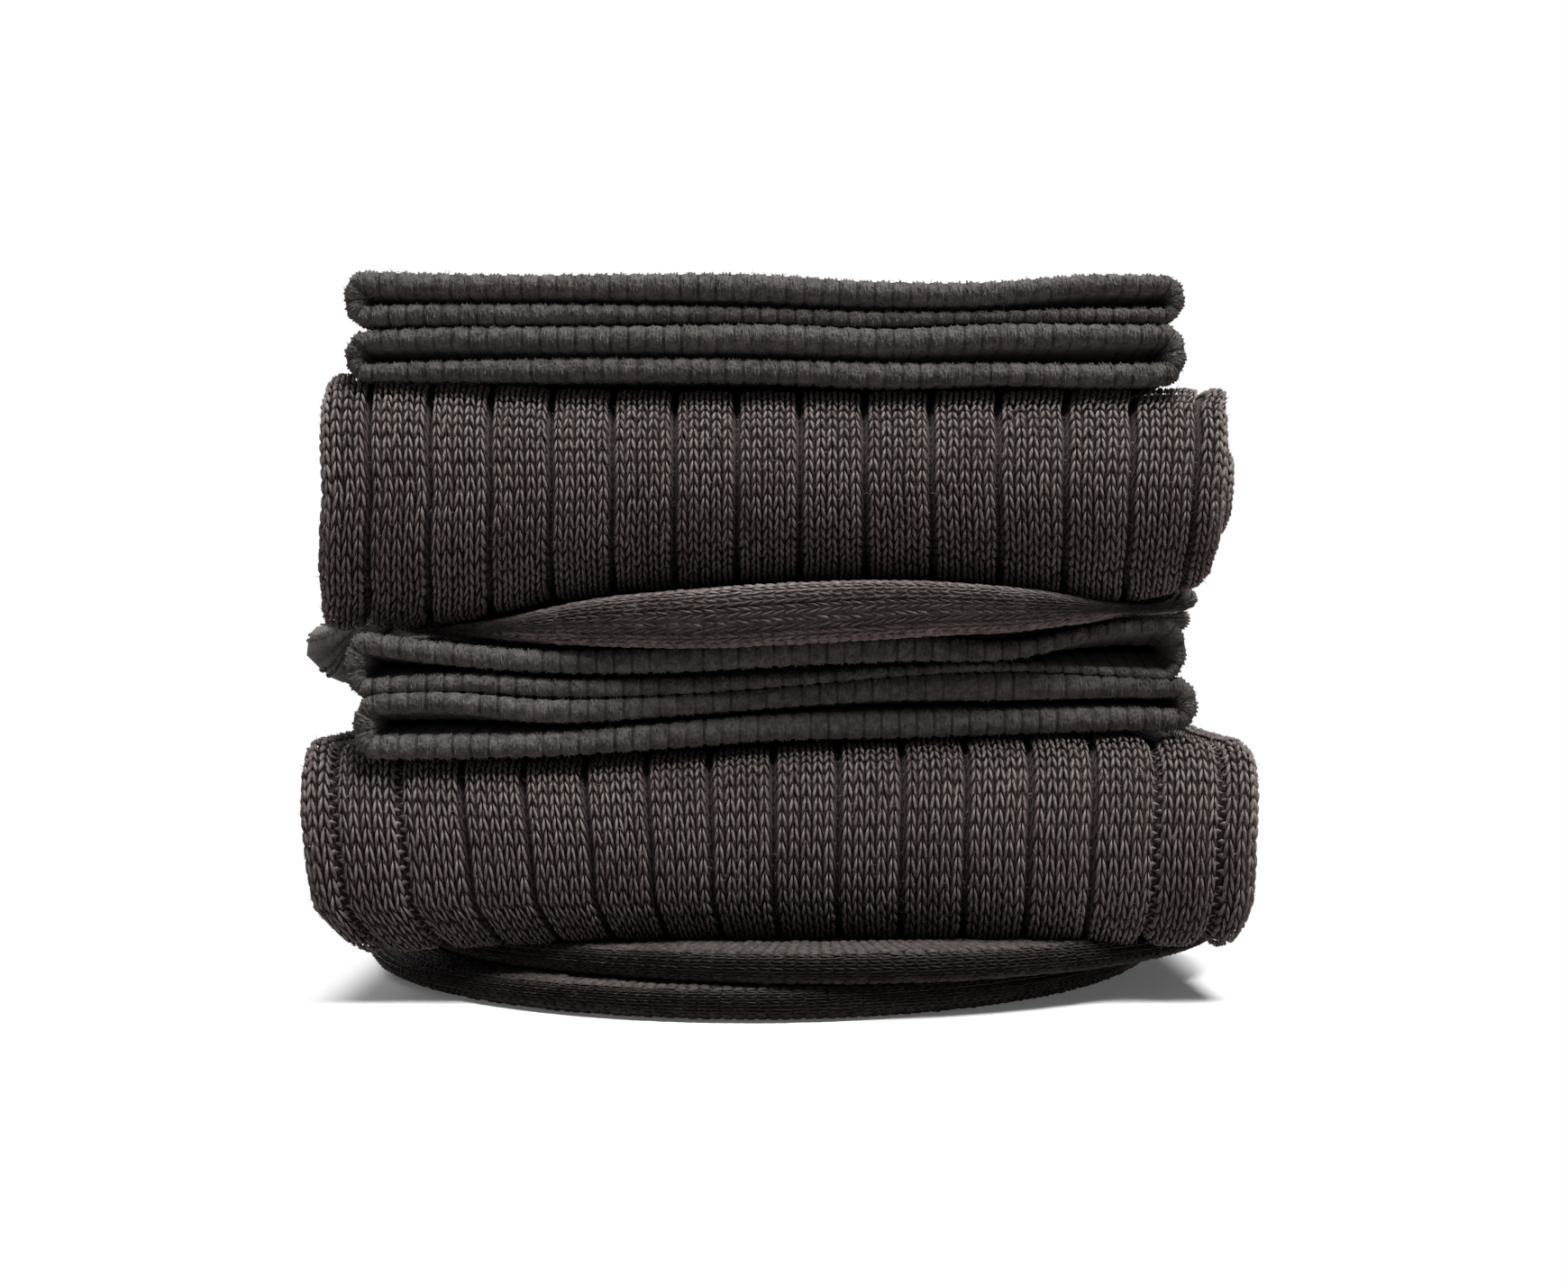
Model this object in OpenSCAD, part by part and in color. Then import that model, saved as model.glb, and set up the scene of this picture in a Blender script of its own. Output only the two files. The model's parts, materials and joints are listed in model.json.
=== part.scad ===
// Two folded pairs of rib-knit calf socks, one pair stacked on the other.
// Each sock is a knitted tube laid flat with its heel to the left. The two socks of a pair lie
// on each other and are folded together in four layers: foot, ankle, calf and leg top. The toes
// and the open cuffs point to the front (-Y), and the front fold shows its ribs between them.

/* [Sock] */
// Width of the sock when it lies flat
sock_w = 90; // [74:1:110]
// Thickness of the knitted wall
wall = 1.5; // [1.1:0.1:2]
// Slack between the two walls of the flat tube
tube_gap = 0.8; // [0.4:0.1:1.4]
// Distance from one knitted rib to the next
rib_pitch = 6.2; // [4:0.1:9]
// Width of the sunk wale between two ribs
groove_w = 1; // [0.6:0.1:1.6]
// Depth of the sunk wale
groove_d = 0.5; // [0.2:0.05:0.8]

/* [Fold] */
// Distance from the front fold's axis to the rear folds' axis
fold_len = 148; // [130:1:190]
// How far the toe tip reaches in front of the front fold's axis
toe_reach = 18.5; // [8:0.5:30]
// How far the upper pair's toes stay behind the lower pair's
upper_toe_back = 6; // [0:0.5:10]
// How far the upper pair's under toe stays behind the toe above it
under_toe_back = 9; // [0:0.5:12]
// How far the cuffs reach in front of the front fold's axis
cuff_reach = 6; // [0:0.5:12]

/* [Heel and toe] */
// Radius of the heel pocket that stands out to the left
heel_r = 26; // [18:0.5:32]
// Distance from the heel pocket to the rear folds' axis
heel_setback = 1; // [0.5:0.5:10]
// Width of the linked seam behind the toe
seam_w = 1.4; // [0.8:0.1:3]

/* [Cuff] */
// Width of the turned welt when it lies flat
welt_w = 82; // [64:1:90]
// Length of the turned welt
welt_len = 12; // [9:0.5:20]
// Thickness of one ply of the turned welt
ply = 0.55; // [0.4:0.05:0.8]
// Opening of the mouth between the welt's two walls
mouth_gap = 0.6; // [0.4:0.1:2]
// Thickness of the elastic band inside the welt
elastic_t = 0.45; // [0.3:0.05:0.8]
// Width of the elastic band inside the welt
elastic_w = 7; // [4:0.5:8]
// Room around the elastic band
elastic_room = 0.1; // [0.05:0.05:0.3]

/* [Stack] */
// Room between the two socks of a pair
sock_gap = 0.4; // [0.3:0.1:1]
// Room between the folded layers of a pair
panel_gap = 0.5; // [0.4:0.1:1.5]
// Room between the two pairs
pair_gap = 0.5; // [0.4:0.1:2]
// Sideways place of the lower pair's left sock
lower_left_x = -2; // [-6:0.5:6]
// Sideways place of the lower pair's right sock
lower_right_x = 0; // [-6:0.5:6]
// Sideways place of the upper pair's left sock
upper_left_x = 1; // [-6:0.5:6]
// Sideways place of the upper pair's right sock
upper_right_x = -1; // [-6:0.5:6]

/* [Hidden] */
$fn = 48;
PAIRS = ["lower", "upper"];
SOCKS = ["left", "right"];
PIECES = [
    "toe", "toe_seam", "foot", "heel", "heel_fold", "ankle",
    "front_fold", "calf", "top_fold", "leg_top", "welt", "elastic"
];

// Heights of a flat tube, of its welt and of the layer that holds either
tube_h = 2 * wall + tube_gap;
welt_wall = 2 * ply + elastic_t + 2 * elastic_room;
welt_h = 2 * welt_wall + mouth_gap;
layer_h = max(tube_h, welt_h);
layer_pitch = layer_h + sock_gap;
panel_h = layer_h + layer_pitch;
pair_h = 4 * panel_h + 3 * panel_gap;

// Places along the depth: fold axes, heel and cuff
front_y = -fold_len / 2;
rear_y = fold_len / 2;
heel_y = rear_y - heel_setback - heel_r;
mouth_y = front_y - cuff_reach;
welt_y = mouth_y + welt_len;

// The flat tube's straight walls end here, and the rounded side edges begin
edge_x = (sock_w - tube_h) / 2;
welt_edge_x = (welt_w - welt_h) / 2;
rib_count = floor((edge_x - groove_w / 2) / rib_pitch);
groove_xs = [for (i = [-rib_count:rib_count]) i * rib_pitch];
instep_xs = [for (x = groove_xs) if (x > 0) x];
// A cut reaches this far past the face that it opens
past = 1;
// Thickness of the thin slices that a blend runs between
slice = 0.01;

KNIT = "#3d3836";
SEAM = "#2c2826";
ELASTIC = "#5a5552";

// Sideways place of a sock in the stack
function sock_x(pair, sock) =
    pair == "lower"
        ? (sock == "left" ? lower_left_x : lower_right_x)
        : (sock == "left" ? upper_left_x : upper_right_x);
// How far a sock's toe stays behind the front toes
function toe_back(pair, sock) =
    pair == "lower" ? 0 : upper_toe_back + (sock == "left" ? under_toe_back : 0);
// Where a sock's rounded toe begins, and where its foot begins behind the toe seam
function toe_y(pair, sock) = front_y - toe_reach + sock_w / 2 + toe_back(pair, sock);
function foot_y(pair, sock) = toe_y(pair, sock) + seam_w;
function pair_z(pair) = pair == "lower" ? 0 : pair_h + pair_gap;
// The socks change places at every fold: 0 is the lower and 1 the upper of the two
function level(sock, panel) = sock == "left" ? (panel + 1) % 2 : panel % 2;
function tube_z(pair, sock, panel) =
    pair_z(pair) + (panel - 1) * (panel_h + panel_gap) + layer_h / 2 + level(sock, panel) * layer_pitch;
// Fold number 1 is the heel fold, 2 the front fold and 3 the top fold
function fold_z(pair, fold) = pair_z(pair) + fold * panel_h + (fold - 0.5) * panel_gap;
function fold_y(fold) = fold == 2 ? front_y : rear_y;
function fold_r(sock, fold) = panel_gap / 2 + layer_h / 2 + (level(sock, fold) == 0 ? layer_pitch : 0);

// Flat tube's outline: a strip with round ends
module stadium(w, h) {
    square([w - h, h], center = true);
    for (side = [-1, 1])
        translate([side * (w - h) / 2, 0]) circle(d = h);
}

// Cut through a flat tube: the knitted wall around its slack
module tube_ring(w) {
    difference() {
        stadium(w, tube_h);
        stadium(w - 2 * wall, tube_gap);
    }
}

// Tube wall with sunk wales at the given places on both faces
module ribbed_ring(xs) {
    difference() {
        tube_ring(sock_w);
        for (x = xs, side = [-1, 1])
            translate([x, side * (tube_h / 2 - groove_d + (groove_d + past) / 2)])
                square([groove_w, groove_d + past], center = true);
    }
}

// Half of a tube's cut, from its middle to its rounded edge
module half_ring(r) {
    intersection() {
        tube_ring(2 * r);
        translate([0, -tube_h]) square([r + past, 2 * tube_h]);
    }
}

// A cut carried along the depth from y0 to y1
module along_y(y0, y1) {
    translate([0, y1, 0]) rotate([90, 0, 0]) linear_extrude(y1 - y0) children();
}

// Straight layer of a sock between two folds
module ribbed_panel(pair, sock, panel, y0, y1) {
    translate([sock_x(pair, sock), 0, tube_z(pair, sock, panel)])
        along_y(y0, y1) ribbed_ring(groove_xs);
}

// Half turn of a sock around a fold's axis
module ribbed_fold(pair, sock, fold) {
    translate([sock_x(pair, sock), fold_y(fold), fold_z(pair, fold)])
        rotate([0, 90, 0])
            rotate([0, 0, fold == 2 ? 180 : 0])
                rotate_extrude(angle = 180)
                    translate([fold_r(sock, fold), 0]) rotate(90) ribbed_ring(groove_xs);
}

// Moves a foot piece to its sock's place
module in_foot(pair, sock) {
    translate([sock_x(pair, sock), 0, tube_z(pair, sock, 1)]) children();
}

// Rounded toe pocket, knitted on with the sole
module toe(pair, sock) {
    color(KNIT) in_foot(pair, sock) {
        translate([0, toe_y(pair, sock), 0])
            rotate([0, 0, 180]) rotate_extrude(angle = 180) half_ring(sock_w / 2);
        along_y(toe_y(pair, sock), foot_y(pair, sock)) mirror([1, 0]) half_ring(sock_w / 2);
    }
}

// Linked seam across the instep half of the tube
module toe_seam(pair, sock) {
    color(SEAM) in_foot(pair, sock)
        along_y(toe_y(pair, sock), foot_y(pair, sock)) half_ring(sock_w / 2);
}

// Foot with a plain sole on the heel's side and a ribbed instep
module foot(pair, sock) {
    color(KNIT) in_foot(pair, sock) difference() {
        along_y(foot_y(pair, sock), rear_y) ribbed_ring(instep_xs);
        translate([-edge_x - sock_w, heel_y - heel_r, -tube_h]) cube([sock_w, 2 * heel_r, 2 * tube_h]);
    }
}

// Heel pocket that stands out of the foot's left edge
module heel(pair, sock) {
    color(KNIT) in_foot(pair, sock)
        translate([-edge_x, heel_y, 0]) rotate([0, 0, 90]) rotate_extrude(angle = 180) half_ring(heel_r);
}

module heel_fold(pair, sock) {
    color(KNIT) ribbed_fold(pair, sock, 1);
}

module ankle(pair, sock) {
    color(KNIT) ribbed_panel(pair, sock, 2, front_y, rear_y);
}

module front_fold(pair, sock) {
    color(KNIT) ribbed_fold(pair, sock, 2);
}

module calf(pair, sock) {
    color(KNIT) ribbed_panel(pair, sock, 3, front_y, rear_y);
}

module top_fold(pair, sock) {
    color(KNIT) ribbed_fold(pair, sock, 3);
}

// Flat tube's outline of height h, blended from width w0 at y0 to width w1 at y1
module narrowing_tube(w0, y0, w1, y1, h) {
    hull() {
        along_y(y0 - slice, y0) stadium(w0, h);
        along_y(y1, y1 + slice) stadium(w1, h);
    }
}

// Sunk wales that close up as the leg draws in to the welt
module closing_grooves() {
    closing = welt_edge_x / edge_x;
    half = groove_w / 2;
    for (x = groove_xs, side = [0, 1])
        mirror([0, 0, side]) translate([0, 0, tube_h / 2 - groove_d]) linear_extrude(groove_d + past)
            polygon([
                [x - half, rear_y + past], [x + half, rear_y + past],
                [x * closing + half, welt_y - past], [x * closing - half, welt_y - past]
            ]);
}

// Top of the leg: a ribbed layer that draws in to the welt's width
module leg_top(pair, sock) {
    color(KNIT) translate([sock_x(pair, sock), 0, tube_z(pair, sock, 4)]) difference() {
        narrowing_tube(sock_w, rear_y, welt_w, welt_y, tube_h);
        narrowing_tube(sock_w - 2 * wall, rear_y + past, welt_w - 2 * wall, welt_y - past, tube_gap);
        closing_grooves();
    }
}

// Cut through one wall of the turned welt: two plies that meet in a round edge at the mouth
module welt_profile() {
    channel = elastic_t + 2 * elastic_room;
    difference() {
        union() {
            translate([welt_wall / 2, 0]) square([welt_len - welt_wall / 2, welt_wall]);
            translate([welt_wall / 2, welt_wall / 2]) circle(d = welt_wall);
        }
        translate([welt_len - elastic_w - 2 * elastic_room, ply]) square([welt_len, channel]);
    }
}

// Turned welt: the profile runs along both walls and around both side edges of the flat mouth
module welt(pair, sock) {
    color(KNIT) translate([sock_x(pair, sock), mouth_y, tube_z(pair, sock, 4)]) {
        for (side = [0, 1])
            mirror([0, 0, side])
                translate([-welt_edge_x, 0, mouth_gap / 2])
                    rotate([90, 0, 90]) linear_extrude(2 * welt_edge_x) welt_profile();
        for (side = [0, 1])
            mirror([side, 0, 0])
                translate([welt_edge_x, 0, 0])
                    rotate([-90, 0, 0]) rotate([0, 0, -90]) rotate_extrude(angle = 180)
                        translate([mouth_gap / 2, 0]) mirror([1, -1]) welt_profile();
    }
}

// Elastic band inside the turned welt
module elastic(pair, sock) {
    inset = ply + elastic_room;
    color(ELASTIC) translate([sock_x(pair, sock), 0, tube_z(pair, sock, 4)])
        along_y(welt_y - elastic_room - elastic_w, welt_y - elastic_room) difference() {
            stadium(welt_w - 2 * inset, welt_h - 2 * inset);
            stadium(welt_w - 2 * (inset + elastic_t), welt_h - 2 * (inset + elastic_t));
        }
}

for (pair = PAIRS, sock = SOCKS) {
    toe(pair, sock);
    toe_seam(pair, sock);
    foot(pair, sock);
    heel(pair, sock);
    heel_fold(pair, sock);
    ankle(pair, sock);
    front_fold(pair, sock);
    calf(pair, sock);
    top_fold(pair, sock);
    leg_top(pair, sock);
    welt(pair, sock);
    elastic(pair, sock);
}
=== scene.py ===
"""Two folded pairs of rib-knit socks: cloth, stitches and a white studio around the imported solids."""

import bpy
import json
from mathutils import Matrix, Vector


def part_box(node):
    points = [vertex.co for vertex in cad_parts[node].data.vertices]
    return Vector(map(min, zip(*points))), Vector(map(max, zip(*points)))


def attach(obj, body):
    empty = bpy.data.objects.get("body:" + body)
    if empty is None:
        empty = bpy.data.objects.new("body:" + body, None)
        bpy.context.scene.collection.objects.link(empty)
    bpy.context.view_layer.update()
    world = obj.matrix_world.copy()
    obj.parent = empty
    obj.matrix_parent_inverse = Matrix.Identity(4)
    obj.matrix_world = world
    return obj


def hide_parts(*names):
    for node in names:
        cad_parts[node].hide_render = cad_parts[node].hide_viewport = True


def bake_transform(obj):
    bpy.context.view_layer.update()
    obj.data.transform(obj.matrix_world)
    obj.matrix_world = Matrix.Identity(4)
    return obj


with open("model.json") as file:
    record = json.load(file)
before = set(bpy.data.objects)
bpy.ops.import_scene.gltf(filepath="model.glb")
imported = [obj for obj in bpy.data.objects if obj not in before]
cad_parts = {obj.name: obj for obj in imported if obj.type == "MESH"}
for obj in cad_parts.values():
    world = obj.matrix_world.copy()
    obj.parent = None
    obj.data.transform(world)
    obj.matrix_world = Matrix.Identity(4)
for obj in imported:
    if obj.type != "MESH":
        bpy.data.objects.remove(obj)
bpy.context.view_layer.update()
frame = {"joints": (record.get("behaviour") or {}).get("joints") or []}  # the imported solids, a fixed frame for everything below

import json

import bmesh
import bpy
import numpy as np

bl_info = {
    "name": "Folded sock stack",
    "version": (1, 0, 0),
    "blender": (4, 5, 0),
    "location": "View3D > Sidebar > Socks",
    "description": "Knits two folded pairs of rib socks around their solids and lights them",
    "category": "Object",
}

MM = 0.001
UP = np.array((0.0, 0.0, 1.0))
PAIRS = ("lower", "upper")
SIDES = ("left", "right")

# Layers of a sock and the folds between them, from the foot up. Face A of its tube looks up in layers 1 and
# 3.
FOOT, ANKLE, CALF, CUFF = 1, 2, 3, 4
LAYER_SIGN = {FOOT: 1, ANKLE: -1, CALF: 1, CUFF: -1}
LAYER_NAMES = {FOOT: "foot", ANKLE: "ankle", CALF: "calf", CUFF: "leg_top"}
LAYER_BODIES = {FOOT: "foot", ANKLE: "ankle", CALF: "calf", CUFF: "top"}
FRONT = 2  # fold that shows at the front
FOLD_NAMES = {1: "heel_fold", FRONT: "front_fold", 3: "top_fold"}  # each by the layer below it
LAYER_ROWS, LEG_TOP_ROWS, OUTER_ROWS, INNER_ROWS = 16, 24, 33, 17  # points along a sheet of cloth

# First seed of the random draws of each kind of piece, and the steps to the next sock, fold and cuff.
SEEDS = {"toe": 100, "seam": 110, "heel": 120, "foot": 130, "ankle": 200, "calf": 230, "leg_top": 260,
         "fold": 700, "welt": 1200}
SOCK_STEP, FOLD_STEP, CUFF_STEP = 100, 30, 10

# Rib knit of the tubes: wales are columns of stitches along a sock, courses are rows around it.
TWIST = {"upper_right": -2.6}  # wales by which a sock is turned in its place
SLIP = {"lower_right": (2.0, -0.4), "upper_right": (0.4, 2.7)}  # wales drawn on at its two edges
COURSE = {"lower": 1.40, "upper": 1.06}  # mm from one course to the next, as each pair is stretched
OPEN_GROOVES = {"lower": 34.0, "upper": 60.0}  # wales from face A's middle to where grooves are open
GROOVE_OPEN, GROOVE_SHUT = 0.7, 0.38  # half width of a groove, in wales
RIB_SPREAD = 0.09  # share by which the knitted wales of a rib lie spread apart
LEG_SPREAD, LEG_TIP, POCKET_TIP = 0.42, 0.10, 0.08  # wales from a stitch's middle to its legs' ends
ROOT = 3.0  # radii by which a leg's underside reaches down into the cloth
STRAY = (0.035, 0.05, 0.035)  # wales, courses and mm by which stitches are off their places
# Bumps of sunk stitches: radius (courses along, mm up), half length (wales) and depth (mm).
OPEN_BUMP, SHUT_BUMP, SEAM_BUMP = (0.17, 0.5, 0.05), (0.14, 0.55, 0.55), (0.42, 0.62, 0.12)
OPEN_PLACES = ((-0.3, 0.0), (0.3, 0.5))  # wales and courses of an open groove's two rows of bumps
SEAM_STEP = 1.3  # wales from one bump of a toe seam to the next
SUNK = {"layer": 0.35, "fold": 0.38, "pocket": 0.12, "welt": 0.02}  # mm that cloth lies under stitches
FIBRE = 0.035  # mm, radius of a loose fibre at its root
RIB_FLUFF, POCKET_FLUFF, WELT_FLUFF = 0.8, 0.5, 0.4  # mm, usual length of loose fibres
FOLD_FIBRES, WELT_FIBRES = 1500, 2000  # loose fibres on an outer front fold and on a cuff

# Stretches of the turn around a tube that carry stitches: its round edges, or a face with them.
EDGES = ((0.222, 0.278), (0.722, 0.778))
FACE_A = ((-0.285, 0.285),)
FACE_B = ((0.215, 0.785),)
TOP_FACE = ((0.235, 0.765),)

FULL = {"lower_front_fold": (0.55, 0.75)}  # powers of a fold's lower and upper half: under 1 is fuller
OUTER_SWELL, REAR_SWELL = 0.8, -3.0  # mm that outer and inner rear folds are wider half way round
INNER_SWELL = {"lower_left": -7.0, "upper_left": 0.0}  # the same for inner front folds
LEAST_BEND = 1.2  # mm, least half length over which a fold bends
LEG_DRAW = (0.55, 1.0)  # shares of a leg top's length between which it is drawn in to the cuff

# Toes and heels: reach as a share of the solid's, rise of the tip (mm), thickness there as a share of the
# tube's.
TOE_LIE = {"lower_left": (0.97, 0.1, 1.0), "lower_right": (0.96, 0.1, 1.0),
           "upper_left": (0.93, 0.0, 1.0), "upper_right": (0.935, -1.6, 1.75)}
HEEL_LIE = {"lower_left": (1.0, 0.0, 1.0), "lower_right": (1.0, 0.0, 1.0),
            "upper_left": (0.78, 0.0, 1.0), "upper_right": (1.09, -2.7, 2.4)}
TUCK = {"upper_right": 4.0}  # mm that the underside of a heel's tip is tucked back
ELLIPSE = 2.0
SQUARE = {"upper_left": 3.0, "upper_right": 3.4}  # power of a toe's outline, squarer than an ellipse
TOE_BULGE = 0.35  # depths by which the middle of an elliptic toe lies behind its mouth
TIP = (0.55, 0.95)  # shares of a pocket's depth between which its tip begins
CORNER_SLIM = 1.7  # how much a square tip thins towards its corners
TOE_DRAW, TOE_EASE = 1.2, 0.3  # mm that a toe is drawn in at each side; share of the foot that eases it
POCKET_WALE, POCKET_COURSE = 0.86, 1.12  # mm
POCKET_TURNS = (0.4, 0.6)  # turns of a pocket, about its rim, that carry loose fibres
# Chains of stitches along a pocket's rim: their wales from it, rings of a leg, its thickness as a share of
# the yarn's, the materials of the cloth and the stitches, and the number of loose fibres.
# The lower toes: a near-black cloth and yarn darkened to a share of its colour, both painted shade.
LOWER_TOE = (np.arange(-11, 12), 2, 0.8, "painted_shade_ground", "toe yarn", 150)
TOE_CHAINS = {"lower_left": LOWER_TOE, "lower_right": LOWER_TOE,
              "upper_left": (np.arange(-6, 7), 1, 0.8, "felt", "yarn", 50),
              "upper_right": (np.arange(-16, 17), 2, 0.8, "felt", "yarn", 150)}
HEEL_CHAINS = ((-4, -1.4, 1.4, 4), 1, 0.5, "felt", "felt", 20)
TOE_PAINTED_SHADE = 0.4  # share of the yarn's colour that the lower toes have: painted shade, the toes darkened as if the fold above shaded them

# How the soft stack lies at its front, as the photograph shows it: at a height in the solids (mm), or all
# the way between two, the rise, the sideways shift and, where there is one, the shift along y (mm) at even
# stations.
LIE_HALF = 44.0  # mm from the middle of the stack to the outermost stations
LIE_GRID = np.linspace(-LIE_HALF, LIE_HALF, 177)
LIE = (
    (0.0, (0, 0, 0, 0, 0), (-1,) * 5),
    (2.0, (-0.7, -0.4, -0.3, -0.3, -0.3), (-1,) * 5),
    (4.2, (-1.9, -1.4, -1.2, -1.2, -1.2), (-1,) * 5),
    (4.4, (-1.9, -1.4, -1.2, -1.2, -0.9), (2, 3.5, 4, 5, 8)),
    (8.6, (-4.1, -2.9, -2.4, -2.6, -3.1), (2, 3.5, 4, 5, 8)),
    (9.2, (-4.5, -3.4, -3.1, -3.3, -3.9), (3.0, 2.4, 0.6, 0, -0.6)),
    (13.0, (-3.6, -2.9, -2.7, -2.7, -3.0), (-0.1, 0.6, 0, 0, 0.0)),
    (17.95, (-2.2, -2.2, -2.0, -1.8, -1.8), (-0.8, 0.2, 0, 0, 0.0)),
    (24.8, (-1.3, -2.6, -1.6, -1.1, -1.3), (-1.6, -0.8, 0, 0.5, 0.8)),
    (26.7, (-1.0, -2.6, -3.0, -2.6, -2.0, -1.5, -1.1, -1.0, -1.2), (-2.2, -1.0, 0, 0.6, 1.1)),
    ((27.3, 31.4), (-2.45, -2.18, -2.46, -1.96, -1.2, -0.6, -0.22, -0.15, -0.35),
     (-0.6, -0.5, -0.4, -0.3, -0.2), (-2.6, -1.2, 0.8, 2.0, 2.6)),
    ((31.8, 35.9), (-0.75, -1.17, -1.77, -1.45, -0.65, 0.0, -0.05, 0.65, 0.3),
     (0.6,) * 5, (-2.2, -1.0, 0.6, 1.7, 2.2)),
    (36.4, (-0.7, -1.6, -2.4, -2.2, -1.4, -0.8, -0.8, 0.7, -0.5), (3, 3, 3, 2.5, 2)),
    (44.8, (-8.6, -7.8, -5.6, -4.5, -3.8, -3.8, -4.6, -6.0, -4.2), (3, 3.5, 3.5, 2, 2)),
    (45.6, (-9.0, -8.2, -6.0, -4.9, -4.2, -4.2, -5.0, -6.4, -4.6), (-0.2, 0, 0, 0, -1.8)),
    (47.5, (-8.0, -7.2, -5.6, -4.7, -4.1, -4.1, -4.6, -5.6, -4.5), (0.9, 0.3, 0, -0.4, -2.2)),
    (54.35, (-4.9, -4.4, -4.0, -3.9, -4.6), (1.9, 0.7, 0, -1, -2)),
    (61.2, (-2.0, -3.2, -3.3, -3.3, -3.0), (1, 0.3, 0, -0.6, -1)),
    (63.1, (-1.4, -2.9, -3.2, -3.1, -2.8), (0.6, 0.1, 0, 0.1, 0.5)),
    ((63.7, 67.8), (-2.7, -2.42, -2.39, -2.35, -2.37, -2.83, -2.44, -2.6, -2.45), (-0.8,) * 5),
    ((68.2, 72.3), (-1.45, -1.57, -1.63, -1.5, -1.5, -2.03, -1.9, -1.5, -1.55), (-2.9,) * 5),
)
LIE_REACH = (-72.0, -26.0)  # y (mm) where the lie is full, and where it has faded out
HEEL_DROOP = 7.0  # mm that the unsupported heels of the upper pair hang down
HEEL_EDGE, HEEL_HANG = 47.0, 22.0  # mm from the middle where the droop starts, and over which it grows
HEEL_LEVELS = (20.0, 24.0)  # mm above the floor between which the droop sets in
FLOOR_CLEAR = 0.02  # mm that the lowest fibres stay above the floor

# How far each cuff's mouth gapes (mm) at even stations.
GAPE = {"lower_right": (1.9, 2.5, 1.45, 1.05, 1.05, 1.9, 2.0, 1.4, 0.9),
        "lower_left": (2.9, 0.58, 0.4, 0.49, 0.54, -0.1, -1.17, 1.33, 2.2),
        "upper_right": (0.5, 1.1, 1.18, 1.27, 1.54, 1.63, 1.8, 2.0, 1.5),
        "upper_left": (1.7, 0.97, 0.73, 0.64, 0.6, 0.33, -0.18, 0.5, 0.3)}
# Thickness of each cuff's upper and lower roll at even stations, as a share of the solid's wall.
ROLL = {"lower_right": ((1.0, 1.02, 1.16, 1.0, 0.96, 1.14, 1.36, 1.1, 0.9),
                        (1.15, 1.2, 1.17, 1.24, 1.26, 1.35, 1.24, 1.2, 0.95)),
        "lower_left": ((1.05, 1.05, 1.08, 1.23, 1.35, 1.3, 0.88, 0.6, 0.6),
                       (0.9, 0.9, 0.85, 0.72, 0.55, 0.4, 0.36, 0.36, 0.45)),
        "upper_right": ((0.9, 1.1, 1.22, 1.26, 1.35, 1.28, 1.26, 1.06, 0.96),
                        (0.72, 0.95, 1.08, 1.1, 1.1, 1.2, 1.04, 1.13, 1.08)),
        "upper_left": ((1.28, 1.2, 1.13, 1.22, 1.3, 1.17, 1.12, 1.0, 0.85),
                       (1.0, 1.02, 1.0, 0.86, 0.72, 0.72, 0.54, 0.66, 0.63))}
WELT_SLIT, WELT_INSIDE = 0.15, 8.0  # mm between a flat cuff's walls, and that its welt runs back inside
WELT_COURSE = 0.95  # mm
WELT_BARS = (-0.6, -0.2, 0.2, 0.6)  # wales from the middle of a fine rib to its strands
WELT_YARN = 0.7  # radius of a strand as a share of the yarn's
WELT_STRAY = (0.07, 0.35, 0.03)  # wales, courses and mm by which strands are off their places
WELT_SHOWN, WELT_FLUFFED = (0.25, 0.68), (0.2, 0.7)  # shares of the way over the edge with strands, fibres
BAND_PLIES, BAND_STEPS = (0.35, 0.6), 120  # the elastic's faces, as shares of the wall; points around it

PHOTO_W = 1740  # pixels across the photograph
SENSOR = 36.0  # mm
FLOOR_SIDE, FLOOR_LEVEL = 6.0, -0.1 * MM  # m
FLOOR_SPREAD = (21.0, 8.0, 1.0)  # per m: turns a place on the floor into shares of the shaded field
AMBIENT, AMBIENT_LEVEL = (1, 0.84, 0.82, 1), 0.05
WHITE = (1, 1, 1, 1)
# Lamps: place, aim and size in m, power in W.
LAMPS = (("key", (0.2, -0.35, 0.97), (0, -0.06, 0.03), 0.6, 25.0),
         ("back", (-0.5, 1.0, 0.6), (0, 0, 0.03), 0.9, 6.0),
         ("fill", (-0.7, -0.9, 0.5), (0, 0, 0.03), 0.9, 0.1))

LENGTH = {"unit": "LENGTH", "precision": 5}
COLOUR = {"subtype": "COLOR", "size": 3, "min": 0, "max": 1}


class KnitSettings(bpy.types.PropertyGroup):
    """Sizes of the knit that a user would change."""

    ribs: bpy.props.IntProperty(name="Ribs", description="Ribs around the tube", default=30, min=6)
    rib_wales: bpy.props.IntProperty(
        name="Wales per rib", description="Wales from one sunk wale to the next", default=6, min=3)
    yarn: bpy.props.FloatProperty(
        name="Yarn", description="Radius of one leg of a stitch", default=0.145 * MM, **LENGTH)
    groove: bpy.props.FloatProperty(
        name="Groove", description="Depth of the sunk wale between two ribs", default=0.95 * MM, **LENGTH)
    crown: bpy.props.FloatProperty(
        name="Crown", description="Rise of a rib's middle above its sides", default=0.12 * MM, **LENGTH)
    welt_ribs: bpy.props.IntProperty(
        name="Welt ribs", description="Fine ribs around a cuff", default=98, min=20)


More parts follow.
